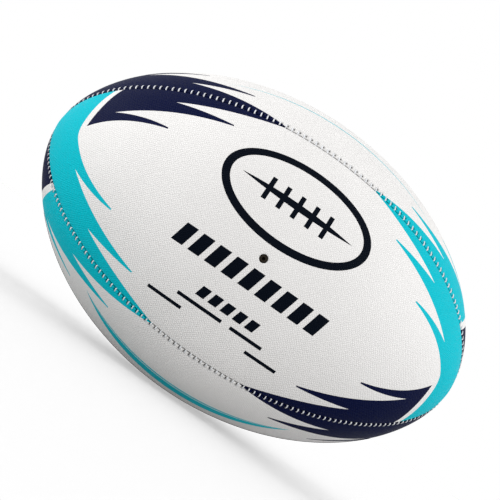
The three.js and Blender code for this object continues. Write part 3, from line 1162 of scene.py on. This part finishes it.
def printed_rubber(name, colour, grain, roughness):
    """Pimpled grip rubber in one ink: raised dots with scuffed tops, painted shade between the dots and in
    seams and slits, a faint cloudiness.
    """
    n = Nodes(name)
    place, painted_shade_factor = n.grip()
    cells = n.add("ShaderNodeTexVoronoi", {"Vector": place, "Scale": 1 / grain, "Randomness": 0.3},
                  voronoi_dimensions="2D")
    dot = n.ramp(cells.outputs["Distance"], 0.50, 0.22)
    cloud = n.noise(22.0, 4.0)
    speck = n.noise(950.0, 2.0, 0.6)
    # Painted shade between the raised dots, with random cloudy and speckled tone.
    tone = n.total((dot, 0.6), (cloud, 0.4), (speck, 0.2))
    # Painted shade of the seam grooves and needle slits, from the grip attribute.
    inked = n.darken(n.shade(colour, tone, 0.80), painted_shade_factor)
    rough = n.ramp(cloud, 0.3, 0.7, roughness, roughness + 0.08)
    rough = n.math("SUBTRACT", rough, n.math("MULTIPLY", dot, 0.06))
    fine = n.bump(speck, 0.00005, 0.5)
    normal = n.bump(dot, 0.0002, 0.9, fine)
    return n.finish(inked, rough, normal, Specular_IOR_Level=0.025)


def sewing_thread(name, colour):
    """Waxed polyester thread, twisted from two strands, with painted shade where it sinks into the seam."""
    n = Nodes(name)
    _, painted_brightness = n.grip()
    fibre = n.noise(5200.0, 4.0, 0.7)
    wear = n.noise(60.0, 2.0)
    tone = n.total((fibre, 0.6), (wear, 0.5))
    rough = n.ramp(fibre, 0.2, 0.8, 0.45, 0.7)
    normal = n.bump(fibre, 0.00008, 0.8)
    yarn = n.darken(n.shade(colour, tone, 0.8), painted_brightness)
    return n.finish(yarn, rough, normal, Specular_IOR_Level=0.3)


def ply_cloth(name, colour, thread_spacing=0.0009):
    """Plain-woven cotton, soaked in latex."""
    n = Nodes(name)
    inputs = {"Vector": n.place, "Scale": 1 / thread_spacing / 6.3, "Distortion": 0.4}
    warp, weft = (n.add("ShaderNodeTexWave", inputs, bands_direction=axis).outputs["Fac"] for axis in "XZ")
    weave = n.math("MAXIMUM", warp, weft)
    slub = n.noise(180.0, 4.0)
    tone = n.total((weave, 0.6), (slub, 0.5))
    return n.finish(n.shade(colour, tone, 0.6), n.ramp(slub, 0, 1, 0.75, 0.95),
                    n.bump(weave, 0.00015, 0.7), Sheen_Weight=0.2)


def moulded_rubber(name, colour, roughness):
    """Plain moulded rubber with a dusting of talc."""
    n = Nodes(name)
    talc = n.noise(140.0, 5.0, 0.6)
    fine = n.noise(2600.0, 3.0)
    return n.finish(n.shade(colour, n.ramp(talc, 0.35, 0.75), 0.6),
                    n.ramp(talc, 0.3, 0.7, roughness, roughness + 0.2), n.bump(fine, 0.00004, 0.6),
                    Specular_IOR_Level=0.12)


# ---- Operators ----


class RUGBYBALL_OT_skins(bpy.types.Operator):
    """Make the four printed rubber skins"""

    bl_idname = "rugby_ball.skins"
    bl_label = "Rubber Skins"

    def execute(self, context):
        skin, seam = context.scene.rugby_ball_skin, context.scene.rugby_ball_seam
        finishes = [
            printed_rubber(f"{ink}_grip_rubber", getattr(skin, ink), skin.grain, roughness)
            for ink, roughness in INK_ROUGHNESS.items()
        ]
        for name in PANELS:
            build_skin(name, skin, seam, finishes)
        return {"FINISHED"}


class RUGBYBALL_OT_plies(bpy.types.Operator):
    """Make the three woven plies behind each skin"""

    bl_idname = "rugby_ball.plies"
    bl_label = "Woven Plies"

    def execute(self, context):
        cloth = ply_cloth("ply_cloth", context.scene.rugby_ball_inside.cloth)
        for name in PANELS:
            for index in range(len(PLY_NAMES)):
                build_ply(name, index, cloth)
        return {"FINISHED"}


class RUGBYBALL_OT_stitching(bpy.types.Operator):
    """Sew the four seams"""

    bl_idname = "rugby_ball.stitching"
    bl_label = "Seam Stitching"

    def execute(self, context):
        settings = context.scene.rugby_ball_seam
        thread = sewing_thread("sewing_thread", settings.colour)
        for name in SEAMS:
            build_stitching(name, settings, thread)
        return {"FINISHED"}


class RUGBYBALL_OT_bladder(bpy.types.Operator):
    """Make the air bladder"""

    bl_idname = "rugby_ball.bladder"
    bl_label = "Air Bladder"

    def execute(self, context):
        build_bladder(moulded_rubber("bladder_rubber", context.scene.rugby_ball_inside.bladder, 0.45))
        return {"FINISHED"}


class RUGBYBALL_OT_valve(bpy.types.Operator):
    """Make the valve's body, plug and patch"""

    bl_idname = "rugby_ball.valve"
    bl_label = "Needle Valve"

    def execute(self, context):
        settings = context.scene.rugby_ball_inside
        build_valve(
            moulded_rubber("valve_rubber", settings.valve, 0.4),
            moulded_rubber("plug_rubber", PLUG_COLOUR, 0.6),
        )
        build_patch(ply_cloth("patch_cloth", [c * 0.7 for c in settings.cloth], 0.0012))
        return {"FINISHED"}


class RUGBYBALL_OT_stage(bpy.types.Operator):
    """Lay the floor and set the lights and the camera"""

    bl_idname = "rugby_ball.stage"
    bl_label = "Stage"

    def execute(self, context):
        settings = context.scene.rugby_ball_stage
        hang_lights(lay_floor(settings))
        set_camera(settings)
        return {"FINISHED"}


# ---- Stage ----


def lay_floor(settings):
    """A wide plain floor under the ball's belly."""
    cells = 24
    line = np.linspace(-FLOOR_HALF, FLOOR_HALF, cells + 1)
    x, y = np.meshgrid(line, line, indexing="ij")
    vertices = np.stack([x, y, np.full_like(x, FRAME_BOX[0][2])], axis=-1).reshape(-1, 3)
    mesh = bpy.data.meshes.new("floor")
    faces = [face[::-1] for face in grid_faces(cells + 1, cells + 1, False)]
    mesh.from_pydata(vertices.tolist(), [], faces)
    floor = add_object("floor", mesh)
    n = Nodes("pale_floor")
    cloud = n.noise(3.0, 2.0)
    mesh.materials.append(n.finish(
        n.shade(settings.floor, cloud, 0.985), n.ramp(cloud, 0, 1, 0.75, 0.85), n.bump(cloud, 0.0002, 0.1),
    ))
    floor.is_shadow_catcher = True
    return floor


def direction(azimuth, elevation):
    """Unit vector to a place round the ball from its front and up."""
    level = math.cos(elevation)
    return Vector((math.sin(azimuth) * level, -math.cos(azimuth) * level, math.sin(elevation)))


def lit_group(name, floor, state):
    """Group of lit objects that either takes in the floor alone or leaves only the floor out."""
    group = bpy.data.collections.new(name)
    group.objects.link(floor)
    group.collection_objects[0].light_linking.link_state = state
    return group


def hang_lamp(name, kind, position, power, lit, **settings):
    """A lamp aimed at the ball's middle that lights one group of objects."""
    light = bpy.data.lights.new(name, kind)
    light.energy = power
    for key, value in settings.items():
        setattr(light, key, value)
    lamp = add_object(name, light)
    lamp.location = position
    lamp.rotation_euler = (-Vector(position)).to_track_quat("-Z", "Y").to_euler()
    lamp.light_linking.receiver_collection = lit


def hang_lights(floor):
    """Broad lamps at both sides and one in front, in white surroundings.

    The lamps leave out the floor, so that only the soft shadow of the surroundings lies on it. A
    lamp for the floor alone thins that shadow.
    """
    only_floor = lit_group("floor_alone", floor, "INCLUDE")
    hang_lamp("floor_light", "SUN", (0, 0, 1.5), FLOOR_LIGHT, only_floor, use_shadow=False)
    all_but_floor = lit_group("lit_by_surroundings_only", floor, "EXCLUDE")
    for name, azimuth, elevation, power in LAMPS:
        position = direction(math.radians(azimuth), math.radians(elevation)) * LAMP_DISTANCE
        hang_lamp(name, "AREA", position, power, all_but_floor, shape="DISK", size=LAMP_SIZE)
    world = bpy.data.worlds.new("white_surroundings")
    world.use_nodes = True
    nodes, links = world.node_tree.nodes, world.node_tree.links
    mix = nodes.new("ShaderNodeMixShader")
    links.new(nodes.new("ShaderNodeLightPath").outputs["Is Camera Ray"], mix.inputs[0])
    backgrounds = (nodes["Background"], nodes.new("ShaderNodeBackground"))
    for number, (background, strength) in enumerate(zip(backgrounds, (SURROUNDINGS, 1.0)), 1):
        background.inputs["Color"].default_value = (1, 1, 1, 1)
        background.inputs["Strength"].default_value = strength
        links.new(background.outputs[0], mix.inputs[number])
    links.new(mix.outputs[0], nodes["World Output"].inputs["Surface"])
    bpy.context.scene.world = world
    bpy.context.scene.view_settings.view_transform = "Standard"


def set_camera(settings):
    """Camera in front of the valve, rolled so that the ball's long axis slopes in the picture."""
    back = direction(settings.heading, settings.rise)
    turn = (-back).to_track_quat("-Z", "Y").to_matrix().to_4x4()
    camera = add_object("camera", bpy.data.cameras.new("camera"))
    camera.matrix_world = (
        Matrix.Translation(back * settings.distance) @ turn @ Matrix.Rotation(settings.roll, 4, "Z")
    )
    camera.data.lens = settings.lens
    camera.data.sensor_width = 36.0
    camera.data.shift_x, camera.data.shift_y = CAMERA_SHIFT
    camera.data.clip_start = 0.01
    bpy.context.scene.camera = camera


# ---- Sidebar and registration ----

STEPS = ("skins", "plies", "stitching", "bladder", "valve", "stage")


class RUGBYBALL_PT_panel(bpy.types.Panel):
    """Lists the ball's settings and its building steps"""

    bl_idname = "RUGBYBALL_PT_panel"
    bl_label = "Rugby Ball"
    bl_space_type = "VIEW_3D"
    bl_region_type = "UI"
    bl_category = "Rugby Ball"

    def draw(self, context):
        for group in ("skin", "seam", "inside", "stage"):
            settings = getattr(context.scene, f"rugby_ball_{group}")
            box = self.layout.box()
            for name in settings.bl_rna.properties.keys():
                if name not in {"rna_type", "name"}:
                    box.prop(settings, name)
        for step in STEPS:
            self.layout.operator(f"rugby_ball.{step}")


SETTINGS = {
    "rugby_ball_skin": RugbyBallSkinSettings,
    "rugby_ball_seam": RugbyBallSeamSettings,
    "rugby_ball_inside": RugbyBallInsideSettings,
    "rugby_ball_stage": RugbyBallStageSettings,
}
CLASSES = (
    *SETTINGS.values(),
    RUGBYBALL_OT_skins,
    RUGBYBALL_OT_plies,
    RUGBYBALL_OT_stitching,
    RUGBYBALL_OT_bladder,
    RUGBYBALL_OT_valve,
    RUGBYBALL_OT_stage,
    RUGBYBALL_PT_panel,
)


def register():
    for cls in CLASSES:
        bpy.utils.register_class(cls)
    for name, cls in SETTINGS.items():
        setattr(bpy.types.Scene, name, PointerProperty(type=cls))


def unregister():
    for name in SETTINGS:
        delattr(bpy.types.Scene, name)
    for cls in reversed(CLASSES):
        bpy.utils.unregister_class(cls)


def main():
    register()
    for step in STEPS:
        getattr(bpy.ops.rugby_ball, step)()


if __name__ == "__main__":
    main()
